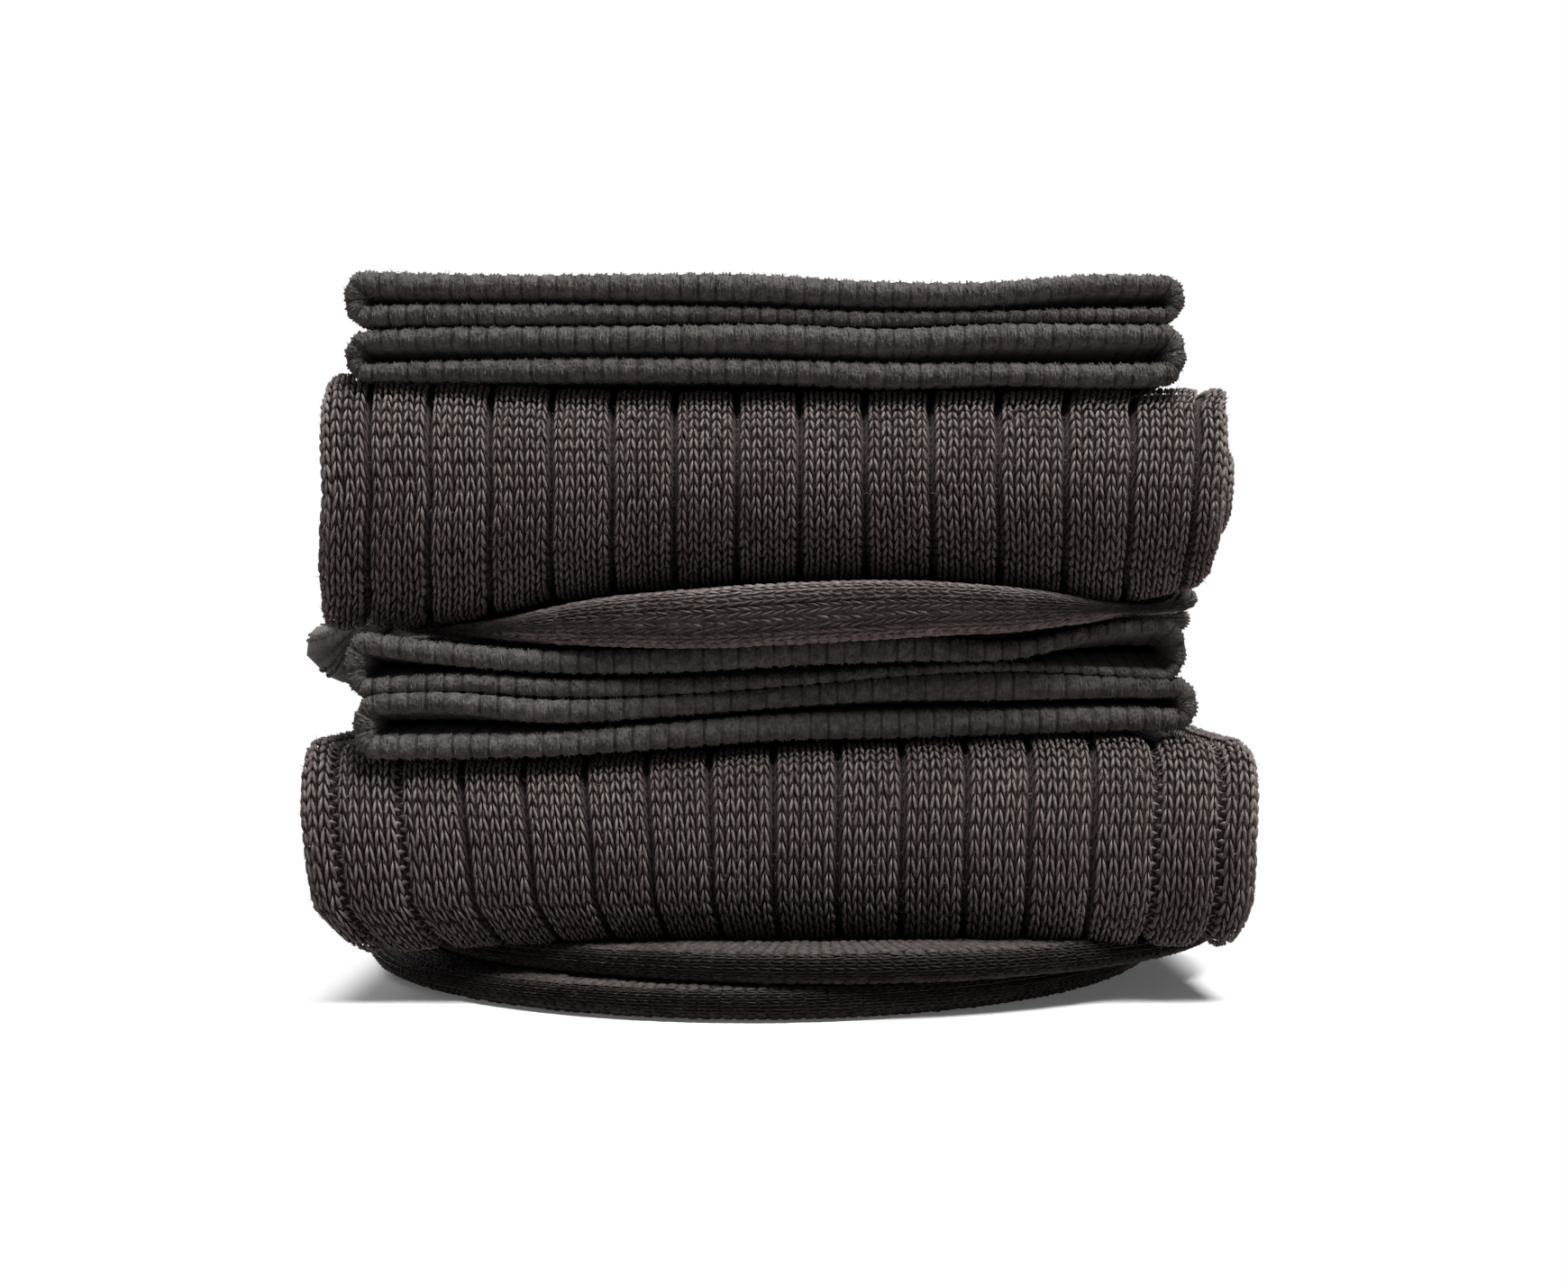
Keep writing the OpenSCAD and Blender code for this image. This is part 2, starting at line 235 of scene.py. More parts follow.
class FinishSettings(bpy.types.PropertyGroup):
    """Colours of the knit that a user would change."""

    yarn: bpy.props.FloatVectorProperty(
        name="Yarn", description="The yarn's lit fibres", default=(0.165, 0.143, 0.133), **COLOUR)
    yarn_deep: bpy.props.FloatVectorProperty(
        name="Yarn, deep", description="The yarn's darker fibres", default=(0.046, 0.032, 0.029), **COLOUR)
    felt: bpy.props.FloatVectorProperty(
        name="Brushed knit", description="Cuffs, toes and heels", default=(0.088, 0.080, 0.075), **COLOUR)
    # Near black: painted shade of the holes between and under the stitches.
    painted_shade_ground: bpy.props.FloatVectorProperty(
        name="Ground", description="Cloth behind the stitches", default=(0.0065, 0.0044, 0.0042), **COLOUR)
    elastic: bpy.props.FloatVectorProperty(
        name="Elastic", description="Band inside the welt", default=(0.10, 0.09, 0.085), **COLOUR)


class StageSettings(bpy.types.PropertyGroup):
    """Camera of the studio."""

    distance: bpy.props.FloatProperty(
        name="Distance", description="From the camera to the front folds", default=0.220, **LENGTH)
    height: bpy.props.FloatProperty(
        name="Height", description="Of the camera above the floor", default=0.0351, **LENGTH)
    fold_scale: bpy.props.FloatProperty(
        name="Fold scale", description="Photo pixels per metre at the front folds", default=11560.0)


class Strand:
    """A node socket that takes part in sums: each operator adds a Math node to the material."""

    def __init__(self, tree, socket=None):
        self.tree, self.socket = tree, socket

    def node(self, kind, settings=None, sockets=None, output=0):
        """Adds a node of that kind, sets its settings, then fills its sockets with values or links."""
        made = self.tree.nodes.new(kind)
        for key, value in (settings or {}).items():
            setattr(made, key, value)
        self.fill(made, sockets or {})
        return Strand(self.tree, made.outputs[output])

    def fill(self, node, sockets):
        """Gives each of a node's sockets its value or link."""
        for key, value in sockets.items():
            if isinstance(value, Strand):
                self.tree.links.new(value.socket, node.inputs[key])
            else:
                node.inputs[key].default_value = value

    def other(self, output):
        """Another output of the same node."""
        return Strand(self.tree, self.socket.node.outputs[output])

    def maths(self, operation, first, second=0.0):
        return self.node("ShaderNodeMath", {"operation": operation}, {0: first, 1: second})

    def __add__(self, other):
        return self.maths("ADD", self, other)

    def __sub__(self, other):
        return self.maths("SUBTRACT", self, other)

    def __rsub__(self, other):
        return self.maths("SUBTRACT", other, self)

    def __mul__(self, other):
        return self.maths("MULTIPLY", self, other)

    def __mod__(self, other):
        return self.maths("FLOORED_MODULO", self, other)

    def __abs__(self):
        return self.maths("ABSOLUTE", self)

    __radd__ = __add__
    __rmul__ = __mul__

    def smooth(self, low, high, bottom=0.0, top=1.0):
        """Smooth step: bottom up to low, top from high on."""
        sockets = {"Value": self, "From Min": low, "From Max": high, "To Min": bottom, "To Max": top}
        return self.node("ShaderNodeMapRange", {"interpolation_type": "SMOOTHSTEP"}, sockets)

    def between(self, first, second):
        """Colour mix: first where this is 0, second where it is 1."""
        return self.node("ShaderNodeMix", {"data_type": "RGBA"}, {0: self, 6: first, 7: second}, output=2)

    def noise(self, scale, detail):
        """Noise over this place, at a scale per metre."""
        return self.node("ShaderNodeTexNoise", None, {"Vector": self, "Scale": scale, "Detail": detail})

    def bump(self, strength, depth):
        """A bump with this height, of a depth in mm."""
        sockets = {"Strength": strength, "Distance": depth * MM, "Height": self}
        return self.node("ShaderNodeBump", None, sockets)


def new_material(name):
    """A material with a Principled shader: it, a strand for new nodes, the shader, and the place on the
    piece."""
    made = bpy.data.materials.new(name)
    made.use_nodes = True
    strand = Strand(made.node_tree)
    place = strand.node("ShaderNodeTexCoord", output="Object")
    return made, strand, made.node_tree.nodes["Principled BSDF"], place


def knit_map(strand):
    """Wale and course of the piece's own map."""
    chart = strand.node("ShaderNodeUVMap", {"uv_map": "Knit"})
    wale = strand.node("ShaderNodeSeparateXYZ", None, {0: chart})
    return wale, wale.other(1)


def seen_rays(strand):
    """1 for rays from the camera, and off or through what shines, which see the white studio; 0 for the
    rest."""
    path = strand.node("ShaderNodeLightPath")
    return path + path.other("Is Glossy Ray") + path.other("Is Transmission Ray")


def shade(colour, share=1.0):
    """A colour darkened to a share of itself, as a socket takes it."""
    return (*(share * part for part in colour), 1.0)


def yarn_material(name="charcoal yarn", share=1.0):
    """Spun yarn: mottled charcoal with fine fibres that catch the light. Below a share of 1 its colour,
    specular and sheen are darkened to that share: painted shade.
    """
    finish = bpy.context.scene.sock_finish
    made, strand, shader, place = new_material(name)
    mottle, ply, fibre = place.noise(120.0, 3.0), place.noise(1100.0, 1.0), place.noise(3600.0, 2.0)
    lit = (mottle * 0.35 + ply * 0.6 + fibre * 0.5).smooth(0.48, 0.95)
    strand.fill(shader, {
        "Base Color": lit.between(shade(finish.yarn_deep, share), shade(finish.yarn, share)),
        "Roughness": fibre.smooth(0.2, 0.8, 0.78, 0.55), "Normal": fibre.bump(0.35, 0.12),
        "Specular IOR Level": 0.22 * share, "Sheen Weight": 0.22 * share, "Sheen Roughness": 0.45,
        "Sheen Tint": (0.52, 0.44, 0.40, 1.0)})
    return made


def painted_shade_ground_material():
    """Cloth behind the stitches, near black as painted shade of the holes between and under them: legs of
    stitches drawn in the yarn's deep tone, in the wales and courses of the piece's own map.
    """
    finish = bpy.context.scene.sock_finish
    made, strand, shader, place = new_material("knit ground in painted shade")
    wale, course = knit_map(strand)
    across, along = abs(wale % 1.0 - 0.5), course % 1.0
    leg = abs(across - (0.36 - along * 0.24)).smooth(0.04, 0.17, 1.0, 0.0)
    fibre = place.noise(2600.0, 2.0)
    strand.fill(shader, {
        "Base Color": leg.between(shade(finish.painted_shade_ground), shade(finish.yarn_deep)),
        "Roughness": fibre.smooth(0.2, 0.8, 0.85, 0.65), "Normal": (leg + fibre * 0.2).bump(0.8, 0.3),
        "Specular IOR Level": 0.1, "Sheen Weight": 0.05, "Sheen Roughness": 0.5})
    return made


def felt_material():
    """Brushed knit whose stitches have closed up: an even charcoal with a soft nap, and painted shade in
    the grooves between a cuff's fine ribs: a dark, broken line at every second wale of the piece's own map."""
    finish = bpy.context.scene.sock_finish
    made, strand, shader, place = new_material("brushed knit")
    mottle, fibre, broken = place.noise(900.0, 3.0), place.noise(3000.0, 2.0), place.noise(350.0, 2.0)
    lit = (mottle * 0.6 + fibre * 0.4).smooth(0.35, 0.65)
    nap = lit.between(shade(finish.felt, 0.35), shade(finish.felt))
    wale = knit_map(strand)[0]
    # Painted shade of the grooves: a dark line at every second wale, broken by noise.
    line = abs((wale + 0.5) % 2.0 - 1.0).smooth(0.72, 0.97) * broken.smooth(0.3, 0.65, 0.2, 0.95)
    strand.fill(shader, {
        "Base Color": line.between(nap, shade(finish.painted_shade_ground)), "Roughness": 0.8,
        "Normal": fibre.bump(0.8, 0.2), "Specular IOR Level": 0.15, "Sheen Weight": 0.2,
        "Sheen Roughness": 0.5, "Sheen Tint": (0.5, 0.47, 0.45, 1.0)})
    return made


def elastic_material():
    """Covered elastic: fine lengthwise cords under a matt cover."""
    finish = bpy.context.scene.sock_finish
    made, strand, shader, place = new_material("covered elastic")
    cords = strand.node("ShaderNodeTexWave", {"bands_direction": "Y"}, {"Vector": place, "Scale": 300.0})
    strand.fill(shader, {"Base Color": cords.between(shade(finish.elastic, 0.6), shade(finish.elastic)),
                         "Normal": cords.bump(0.5, 0.15), "Roughness": 0.7})
    return made


# The lower toes' yarn is darkened to a share of its colour: painted shade.
FINISHES = {"yarn": yarn_material, "toe yarn": lambda: yarn_material("toe yarn", TOE_PAINTED_SHADE),
            "painted_shade_ground": painted_shade_ground_material, "felt": felt_material, "elastic": elastic_material}
MATERIALS = {}


def material(key):
    """The shared material of that key, made on first use."""
    if key not in MATERIALS:
        MATERIALS[key] = FINISHES[key]()
    return MATERIALS[key]


def span(node):
    """Lowest and highest corner of a solid, in mm."""
    low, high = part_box(node)
    return np.array(low) / MM, np.array(high) / MM


def smoothstep(low, high, value):
    """0 up to low, 1 from high on, and between them three times the share squared less twice its cube."""
    t = np.clip((value - low) / (high - low), 0, 1)
    return t * t * (3 - 2 * t)


def girth(width, height):
    """Way around a flattened tube: its two flats and its two half circles."""
    return 2 * (width - height) + np.pi * height


def tube_wales():
    """Wales around a tube."""
    knit = bpy.context.scene.sock_knit
    return knit.ribs * knit.rib_wales


class Sock:
    """One sock's place in the stack, read from its solids, in mm."""

    def __init__(self, pair, side):
        self.pair, self.name, self.left = pair, f"{pair}_{side}", side == "left"
        self.other = f"{pair}_{'right' if self.left else 'left'}"
        self.twist = TWIST.get(self.name, 0) / tube_wales()
        self.slip = np.array(SLIP.get(self.name, (0, 0))) / tube_wales()
        low, high = span(f"{self.name}_ankle")
        self.x = (low[0] + high[0]) / 2
        self.width, self.height = high[0] - low[0], high[2] - low[2]
        self.front, self.rear = low[1], high[1]
        self.foot_start = span(f"{self.name}_foot")[0][1]
        low, high = span(f"{self.name}_welt")
        self.mouth, self.welt_start = low[1], high[1]
        self.welt_width, self.welt_height = high[0] - low[0], high[2] - low[2]
        self.level = {}
        for layer, piece in {**LAYER_NAMES, CUFF: "welt"}.items():
            low, high = span(f"{self.name}_{piece}")
            self.level[layer] = (low[2] + high[2]) / 2
        joints = {joint["name"]: joint for joint in frame["joints"]}
        self.fold_outer, self.axis = {}, {}
        for fold, piece in FOLD_NAMES.items():
            low, high = span(f"{self.name}_{piece}")
            self.fold_outer[fold] = (high[2] - low[2]) / 2
            self.axis[fold] = np.array(joints[f"{pair}_{piece}"]["pos_m"]) / MM

    def body(self, part):
        return f"{self.pair}_{part}"

    def drawn(self, turn):
        """Where on the tube a turn of the knit lies: turned in its place, and drawn on near both edges by
        the square of the sine of the turn."""
        edge = np.sin(2 * np.pi * turn)
        left, right = np.minimum(edge, 0) ** 2, np.maximum(edge, 0) ** 2
        return turn + self.twist + self.slip[0] * left + self.slip[1] * right


def section(turn, width, height):
    """Flattened tube. turn runs 0 to 1 once around from the middle of face A towards +x: flat, round edge,
    face B (turn 0.5), round edge, flat. Gives the place (x, n) and the outward normal (x, n), with n out of
    face A."""
    half, radius = (width - height) / 2, height / 2
    edge = np.pi * radius
    way = np.mod(turn, 1.0) * (4 * half + 2 * edge)
    angle = np.clip((way - half) / radius, 0, np.pi) + np.clip((way - 3 * half - edge) / radius, 0, np.pi)
    flat = (np.minimum(way, half) - np.clip(way - half - edge, 0, 2 * half)
            + np.clip(way - 3 * half - 2 * edge, 0, half))
    nx, nn = np.sin(angle), np.cos(angle)
    return flat + radius * nx, radius * nn, nx, nn


def band_of(middle, height):
    """Lowest and highest level of a layer, for settle."""
    return middle - height / 2, middle + height / 2


def layer_surface(sock, layer, start, end, width):
    """A flat layer of the tube: the section carried along y from start to end, with width a function of
    q."""
    sign = LAYER_SIGN[layer]

    def surface(turn, q):
        x, n, nx, nn = section(sock.drawn(turn), width(q), sock.height)
        y = start + (end - start) * q
        z = sock.level[layer] + sign * n
        return np.stack((sock.x + x, y + 0 * x, z), -1), np.stack((nx, 0 * nx, sign * nn), -1)
    surface.band = band_of(sock.level[layer], sock.height)
    return surface


def fold_surface(sock, fold, swell):
    """A half turn of the tube: the section carried round the fold's axis from the layer below to the one
    above. It is swell wider half way round. Its way out from the axis is the sine of the turn, to the
    powers of FULL in a fold that is squeezed fuller."""
    y_axis, z_axis = sock.axis[fold][1:]
    face = 1 if fold == FRONT else -1
    middle = sock.fold_outer[fold] - sock.height / 2
    lower_power, upper_power = FULL.get(sock.body(FOLD_NAMES[fold]), (1.0, 1.0))

    def surface(turn, q):
        phi = np.pi * q
        power = np.where(phi < np.pi / 2, lower_power, upper_power)
        out = np.maximum(np.sin(phi), 1e-6)
        slope = power * out ** (power - 1) * np.cos(phi)
        size = np.hypot(out, slope)
        x, n, nx, nn = section(sock.drawn(turn), sock.width + swell * np.sin(phi), sock.height)
        radius = middle + face * n
        y, z = y_axis - face * radius * out ** power, z_axis - radius * np.cos(phi)
        return (np.stack((sock.x + x, y, z), -1),
                np.stack((nx + 0 * phi, -nn * out / size, -face * nn * slope / size), -1))
    surface.band = band_of(z_axis, 2 * sock.fold_outer[fold])
    return surface


def pocket_surface(centre, along, out, half_width, depth, height, lie, bulge=0.0, tuck=0.0, square=ELLIPSE):
    """A pocket of cloth with a rounded rim. q runs along the rim and turn across it, from the middle of the
    upper face (0) over the rim (0.5) to the middle of the lower one (1). The rim is the part of an ellipse,
    or of a squarer curve of the power square, that stands out of the pocket's mouth; bulge is how far its
    own middle lies behind the mouth, in depths. The tip rises by rise and is plump times as thick, less so
    towards a square tip's corners, and its underside is tucked back. Gives the surface, its way across and
    the length of its rim."""
    rise, plump = lie
    back = bulge * depth
    reach = depth + back
    power = 2 / square
    side = half_width / (1 - (back / reach) ** square) ** (1 / square)
    start = np.arcsin((back / reach) ** (1 / power))
    radius = height / 2
    mean = (half_width + depth) / 2
    total = 2 * (mean - radius) + np.pi * radius
    along, out = np.array(along), np.array(out)
    slim = CORNER_SLIM if square > ELLIPSE else 0.0

    def rim(theta):
        across, forth = np.cos(theta), np.abs(np.sin(theta))
        return -side * np.sign(across) * np.abs(across) ** power, reach * forth ** power - back
    steps = np.linspace(start, np.pi - start, 2001)
    way = np.concatenate(([0], np.cumsum(np.hypot(*(np.diff(part) for part in rim(steps))))))

    def surface(turn, q):
        theta = np.interp(q, way / way[-1], steps)
        u, v = rim(theta)
        m = (turn - 0.5) * total
        angle = np.clip(m / radius, -np.pi / 2, np.pi / 2)
        inward = radius * (1 - np.cos(angle)) + np.maximum(np.abs(m) - radius * np.pi / 2, 0)
        keep = 1 - inward / mean
        nu = -np.sign(np.cos(theta)) * np.abs(np.cos(theta)) ** (2 - power) / side
        nv = np.abs(np.sin(theta)) ** (2 - power) / reach
        lean = np.cos(angle) / np.hypot(nu, nv)
        tip = smoothstep(*TIP, keep * v / depth)
        full = 1 - slim * (keep * u / side) ** 2
        thick = radius * (1 + (plump - 1) * tip * full)
        forth = keep * v - tuck * tip * np.maximum(np.sin(angle), 0)
        up = rise * tip * np.maximum(full, 0) - thick * np.sin(angle)
        place = centre + (keep * u)[..., None] * along + forth[..., None] * out + up[..., None] * UP
        normal = ((lean * nu)[..., None] * along + (lean * nv)[..., None] * out
                  - np.sin(angle)[..., None] * UP)
        return place, normal
    surface.band = band_of(centre[2], height)
    return surface, total, way[-1]


def station(x, count):
    """Which of count even stations across the stack each x (mm) comes after, and its share of the way
    on."""
    at = (np.clip(x / LIE_HALF, -1, 1) + 1) / 2 * (count - 1)
    k = np.minimum(at.astype(int), count - 2)
    return k, at - k


def station_curve(values):
    """A smooth curve through values at even stations across the stack, as a function of x (mm): from one
    station to the next it is the cubic that leaves and arrives with the slopes between their neighbours."""
    values = np.array(values, float)
    slope = np.gradient(values)

    def curve(x):
        k, t = station(x, len(values))
        return ((1 - t) ** 2 * ((1 + 2 * t) * values[k] + t * slope[k])
                + t ** 2 * ((3 - 2 * t) * values[k + 1] - (1 - t) * slope[k + 1]))
    return curve


# The rows of LIE, each with its height and all three moves, and those moves on the grid.
LIE_ROWS = [(height, *row[1:], (0, 0)) for row in LIE for height in np.atleast_1d(row[0])]
LIE_HEIGHTS = np.array([row[0] for row in LIE_ROWS])
LIE_MOVES = [np.array([station_curve(row[move])(LIE_GRID) for row in LIE_ROWS]) for move in (1, 2, 3)]


def settle(points, band):
    """Moves points as the soft stack lies: between two heights of LIE the rise and shifts change evenly,
    across the stack they follow the curves through its stations, and along y they fade out behind the
    front. What stands out of its layer's band of heights moves as the band's edge does. The upper heels
    hang down beyond the edge of the pair below."""
    x, y, z = points[..., 0], points[..., 1], points[..., 2]
    level = np.clip(z, *band)
    row = np.clip(np.searchsorted(LIE_HEIGHTS, level) - 1, 0, len(LIE_HEIGHTS) - 2)
    share = np.clip((level - LIE_HEIGHTS[row]) / (LIE_HEIGHTS[row + 1] - LIE_HEIGHTS[row]), 0, 1)
    k, t = station(x, len(LIE_GRID))
    fade = 1 - smoothstep(*LIE_REACH, y)
    moves = []
    for table in LIE_MOVES:
        low = table[row, k] + (table[row, k + 1] - table[row, k]) * t
        high = table[row + 1, k] + (table[row + 1, k + 1] - table[row + 1, k]) * t
        moves.append(fade * (low + (high - low) * share))
    rise, shift, forth = moves
    hang = HEEL_DROOP * smoothstep(HEEL_EDGE, HEEL_EDGE + HEEL_HANG, -x) * smoothstep(*HEEL_LEVELS, z)
    return np.stack((x + shift, y + forth, np.maximum(z + rise - hang, FLOOR_CLEAR)), -1)


def gaping(sock):
    """Half of a cuff's gape as a function of x and y: nothing where the welt starts, all of it at the
    mouth."""
    curve = station_curve(GAPE[sock.name])
    return lambda x, y: curve(x) / 2 * smoothstep(-sock.welt_start, -sock.mouth, -y)


def rolling(sock):
    """Thickness of a cuff's wall as a share of the solid's, as a function of x, of how far a place looks up
    (-1 to 1) and of y: the same where the welt starts, the share of ROLL at the mouth."""
    upper, lower = (station_curve(values) for values in ROLL[sock.name])

    def share(x, up, y):
        rolled = (upper(x) * (1 + up) + lower(x) * (1 - up)) / 2
        return 1 + (rolled - 1) * smoothstep(-sock.welt_start, -sock.mouth, -y)
    return share


def welt_surface(sock, wall):
    """A turned welt: the section's circuit carried along a path that runs forward on the outside, turns
    over the rim in a half circle of the wall's thickness and runs back inside. Towards the rim the two
    walls part by the sock's gape, and each is as thick as its roll. Gives the surface and the length of the
    path."""
    gape, roll = gaping(sock), rolling(sock)
    rim = wall / 2
    outside = sock.welt_start - sock.mouth - rim
    total = outside + np.pi * rim + WELT_INSIDE
    sign = LAYER_SIGN[CUFF]

    def surface(turn, q):
        x, n, nx, nn = section(turn, sock.welt_width, sock.welt_height)
        way = q * total
        angle = np.clip((way - outside) / rim, 0, np.pi)
        y = (sock.welt_start - np.minimum(way, outside) - rim * np.sin(angle)
             + np.maximum(way - outside - np.pi * rim, 0))
        apart = nn * gape(sock.x + x, y)
        share = roll(sock.x + x, sign * nn, y)
        sunk = rim * (1 - np.cos(angle)) * share
        y = y - rim * np.sin(angle) * (share - 1)
        z = sock.level[CUFF] + sign * (n + apart - nn * sunk)
        return (np.stack((sock.x + x - nx * sunk, y + 0 * x, z), -1),
                np.stack((nx * np.cos(angle), -np.sin(angle) + 0 * nx, sign * nn * np.cos(angle)), -1))
    surface.band = band_of(sock.level[CUFF], sock.welt_height)
    return surface, total


def from_middle(wale):
    """Wales between a wale and the middle of face A."""
    around = tube_wales()
    return np.abs(np.mod(wale + around / 2, around) - around / 2)


def rib_relief(sock):
    """Height of a sock's cloth over its middle surface (mm), by wale: each rib is crowned as a parabola,
    and parted from the next by a sunk wale, a bell curve that is pulled wide near the edges of a stretched
    sock."""
    knit = bpy.context.scene.sock_knit
    half = knit.rib_wales / 2

    def relief(wale):
        off = np.abs(np.mod(wale + 1, knit.rib_wales) - half)
        crown = knit.crown / MM * (1 - (off / (half - 0.4)) ** 2)
        wide = np.where(from_middle(wale) > OPEN_GROOVES[sock.pair], GROOVE_OPEN, GROOVE_SHUT)
        return crown - knit.groove / MM * np.exp(-((half - off) / wide) ** 2)
    return relief


def plain_relief(wale):
    """Height of plain cloth over its middle surface: none."""
    return 0 * wale


def welt_relief(wale):
    """Height of a cuff's cloth (mm): fine ribs of two wales each, low parabolas parted by narrow bell
    curves."""
    off = np.abs(np.mod(wale + 0.5, 2.0) - 1.0)
    return 0.04 - 0.05 * off ** 2 - 0.18 * np.exp(-((1.0 - off) / 0.16) ** 2)


def new_piece(name, points, faces, key, smooth=True, chart=None):
    """A mesh object at the origin from points (mm) and equal-sided faces; chart gives each corner's map
    place."""
    mesh = bpy.data.meshes.new(name)
    count, sides = faces.shape
    mesh.vertices.add(len(points))
    mesh.vertices.foreach_set("co", (points * MM).astype(np.float32).ravel())
    mesh.loops.add(count * sides)
    mesh.loops.foreach_set("vertex_index", faces.astype(np.int32).ravel())
    mesh.polygons.add(count)
    mesh.polygons.foreach_set("loop_start", np.arange(0, count * sides, sides, dtype=np.int32))
    mesh.update(calc_edges=True)
    mesh.polygons.foreach_set("use_smooth", np.full(count, smooth))
    if chart is not None:
        mesh.uv_layers.new(name="Knit").data.foreach_set("uv", chart.astype(np.float32).ravel())
    mesh.validate()
    mesh.materials.append(material(key))
    piece = bpy.data.objects.new(name, mesh)
    bpy.context.collection.objects.link(piece)
    return piece


def pairs(first, second):
    """Every pair of a first and a second value, as two flat arrays."""
    return (grid.ravel() for grid in np.meshgrid(first, second, indexing="ij"))


def grid_faces(across, along, closed):
    """Quads of a grid of points numbered along first, and each corner's grid place; closed joins the last
    column of points to the first."""
    i, j = pairs(np.arange(across if closed else across - 1), np.arange(along - 1))
    ci = np.stack((i, i + 1, i + 1, i), -1)
    cj = np.stack((j, j, j + 1, j + 1), -1)
    return (ci % across) * along + cj, np.stack((ci, cj), -1)


def cloth(name, surface, wales, courses, relief, sunk, columns, rows, closed=True, key="painted_shade_ground"):
    """The knitted sheet itself: the surface on a grid, lowered by sunk so that stitches lie on it. In a
    sheet that isn't closed around, points that fall together are merged."""
    steps = np.array((columns if closed else columns - 1, rows - 1))
    turn, q = np.meshgrid(np.arange(columns) / steps[0], np.linspace(0, 1, rows), indexing="ij")
    place, normal = surface(turn, q)
    points = settle(place + normal * (relief(turn * wales) - sunk)[..., None], surface.band)
    faces, corners = grid_faces(columns, rows, closed)
    chart = corners.reshape(-1, 2) / steps * (wales, courses)
    # The default key gives the sheet the near-black ground: painted shade under the stitches.
    sheet = new_piece(name, points.reshape(-1, 3), faces, key, chart=chart)
    if not closed:
        shape = bmesh.new()
        shape.from_mesh(sheet.data)
        bmesh.ops.remove_doubles(shape, verts=shape.verts, dist=0.001 * MM)
        shape.to_mesh(sheet.data)
        shape.free()
    return sheet


def spindle(a, b, c, radius, sides, wale):
    """A spindle along a middle line given by across (in wales), along (in courses) and height (mm), with a
    radius at each of its inner rings. Its underside reaches down into the cloth. Gives points and
    triangles."""
    angle = np.pi / 2 + 2 * np.pi * np.arange(sides) / sides
    rise = np.where(np.sin(angle) < -0.1, -ROOT, np.sin(angle))
    ring = np.stack((a[1:-1, None] + radius[:, None] / wale * np.cos(angle), b[1:-1, None] + 0 * angle,
                     c[1:-1, None] + radius[:, None] * rise), -1)
    points = np.concatenate((ring.reshape(-1, 3), [(a[0], b[0], c[0]), (a[-1], b[-1], c[-1])]))
    k = np.arange(sides)
    after = (k + 1) % sides
    last = (len(radius) - 1) * sides
    faces = [np.stack((np.full(sides, last + sides), k, after), -1),
             np.stack((np.full(sides, last + sides + 1), last + after, last + k), -1)]
    for j in range(0, last, sides):
        faces += [np.stack((j + k, j + sides + k, j + sides + after), -1),
                  np.stack((j + k, j + sides + after, j + after), -1)]
    return points, np.concatenate(faces)


def leg_shape(rings, sides, tip, radius, wale):
    """Both legs of a stitch as an upturned V: spindles whose middle lines go from LEG_SPREAD to tip across,
    and from -0.25 to 1.1 along, on a sine that is highest in the middle and falls by 0.08 mm."""
    s = np.linspace(0, 1, rings + 2)
    height = 0.02 + 0.15 * np.sin(np.pi * (0.05 + 0.8 * s)) - 0.08 * s
    points, faces = spindle(LEG_SPREAD + (tip - LEG_SPREAD) * s, -0.25 + 1.35 * s, height,
                            radius * np.sin(np.pi * (0.2 + 0.62 * s[1:-1])) ** 0.5, sides, wale)
    return (np.concatenate((points, points * (-1, 1, 1))),
            np.concatenate((faces, faces[:, ::-1] + len(points))))


def strand_shape(radius, wale):
    """One strand of a welt's bar: a straight spindle along it, from -0.3 to 1.3 courses, on a low sine."""
    s = np.linspace(0, 1, 3)
    return spindle(0 * s, -0.3 + 1.6 * s, 0.06 * np.sin(np.pi * s) - 0.04, np.array((radius,)), 4, wale)


def bump_shape(radius, half, depth):
    """A sunk stitch's bump: a spindle across the wale, half wales long each way, at a depth below the
    cloth."""
    k = np.arange(4)
    after = (k + 1) % 4
    angle = np.pi / 2 * k
    ring = np.stack((0 * angle, 0.5 + radius * np.cos(angle), radius * np.sin(angle)), -1)
    points = np.concatenate((ring, [(-half, 0.5, -0.05), (half, 0.5, -0.05)])) - (0, 0, depth)
    faces = np.stack((np.full(4, 4), k, after), -1), np.stack((np.full(4, 5), after, k), -1)
    return points, np.concatenate(faces)


def stitch(surface, wales, courses, relief, columns, rows, shape, seed, stray=STRAY):
    """Copies of a stitch at every column (wale) and row (course): the shape's across and along are laid on
    the surface, its height along the normal. Each copy is off its place by about stray (wales, courses,
    mm)."""
    points, faces = shape
    wale, course = pairs(columns, rows)
    random = np.random.default_rng(seed)
    off = random.normal(0, 1, (len(wale), 3, 1)) * np.reshape(stray, (3, 1))
    across = wale[:, None] + points[:, 0] + off[:, 0]
    along = course[:, None] + points[:, 1] + off[:, 1]
    place, normal = surface(across / wales, along / courses)
    lift = relief(across) + points[:, 2] + off[:, 2]
    laid = settle(place + normal * lift[..., None], surface.band).reshape(-1, 3)
    count = np.arange(len(wale))[:, None, None] * len(points)
    return laid, (faces[None] + count).reshape(-1, 3)


